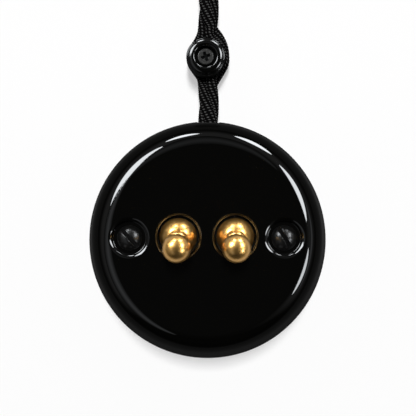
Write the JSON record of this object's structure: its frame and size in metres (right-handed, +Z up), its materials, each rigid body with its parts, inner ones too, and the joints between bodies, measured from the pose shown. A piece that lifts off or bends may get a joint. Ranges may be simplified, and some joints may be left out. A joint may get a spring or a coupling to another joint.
{
  "type": "roller shutter toggle switch",
  "caption": "Round surface-mounted porcelain switch with two ball-ended brass toggle levers for driving a roller shutter up and down, fed by a twisted textile cable from above.",
  "frame": {"origin": "on the wall, at the centre of the base plate's back", "axes": "+Z up the wall, +Y into the wall, so the switch faces -Y, +X to the right as it is looked at"},
  "size_m": [0.0996, 0.0753, 0.1628],
  "materials": {
    "black_porcelain": "high gloss glaze",
    "base_porcelain": "unglazed",
    "brass": "turned and polished",
    "black_screws": "satin black",
    "steel": "zinc plated",
    "contact_brass": "stamped",
    "moulding": "dark thermoset moulding",
    "lead_insulation": "smooth",
    "textile": "braided black textile"
  },
  "bodies": {
    "base": {"cover": "black_porcelain", "insulator_knob": "black_porcelain", "base_plate": "base_porcelain", "cover_posts": "brass", "core_ferrules": "brass", "cover_screws": "black_screws", "insulator_screw": "black_screws", "base_screws": "steel", "yoke_screws": "steel", "terminal_screws": "steel", "saddle_screws": "steel", "yoke_left": "steel", "pivot_pin_left": "steel", "yoke_right": "steel", "pivot_pin_right": "steel", "common_terminal_left": "contact_brass", "upper_terminal_left": "contact_brass", "lower_terminal_left": "contact_brass", "common_terminal_right": "contact_brass", "upper_terminal_right": "contact_brass", "lower_terminal_right": "contact_brass", "housing_left": "moulding", "housing_right": "moulding", "cable_saddle": "moulding", "live_lead": "lead_insulation", "up_lead": "lead_insulation", "down_lead": "lead_insulation", "link_wire": "lead_insulation", "cable_core_left": "textile", "cable_core_front": "textile", "cable_core_back": "textile"},
    "lever_left": {"handle_left": "brass", "lever_core_left": "steel", "spring_left": "steel"},
    "lever_right": {"handle_right": "brass", "lever_core_right": "steel", "spring_right": "steel"},
    "plunger_left": {"plunger_left": "steel"},
    "plunger_right": {"plunger_right": "steel"},
    "rocker_left": {"rocker_left": "contact_brass"},
    "rocker_right": {"rocker_right": "contact_brass"}
  },
  "joints": [
    {"name": "lever_left_tilt", "type": "hinge", "parent": "base", "child": "lever_left", "pos_m": [-0.011, -0.035, 0.0005], "axis": [-1, 0, 0], "range_deg": [0, 28]},
    {"name": "rocker_left_tilt", "type": "hinge", "parent": "base", "child": "rocker_left", "pos_m": [-0.011, -0.0168, 0.0005], "axis": [1, 0, 0], "range_deg": [0, 18]},
    {"name": "plunger_left_slide", "type": "slide", "parent": "lever_left", "child": "plunger_left", "axis": [0, -0.9703, -0.2419], "range_m": [0, 0.0008], "stiffness_N_per_m": 500, "deforming": ["spring_left"]},
    {"name": "lever_right_tilt", "type": "hinge", "parent": "base", "child": "lever_right", "pos_m": [0.011, -0.035, 0.0005], "axis": [-1, 0, 0], "range_deg": [0, 28]},
    {"name": "rocker_right_tilt", "type": "hinge", "parent": "base", "child": "rocker_right", "pos_m": [0.011, -0.0168, 0.0005], "axis": [1, 0, 0], "range_deg": [0, 18]},
    {"name": "plunger_right_slide", "type": "slide", "parent": "lever_right", "child": "plunger_right", "axis": [0, -0.9703, -0.2419], "range_m": [0, 0.0008], "stiffness_N_per_m": 500, "deforming": ["spring_right"]}
  ],
  "couplings": [
    {"joint": "rocker_left_tilt", "follows": "lever_left_tilt", "ratio": 0.64286},
    {"joint": "rocker_right_tilt", "follows": "lever_right_tilt", "ratio": 0.64286}
  ]
}
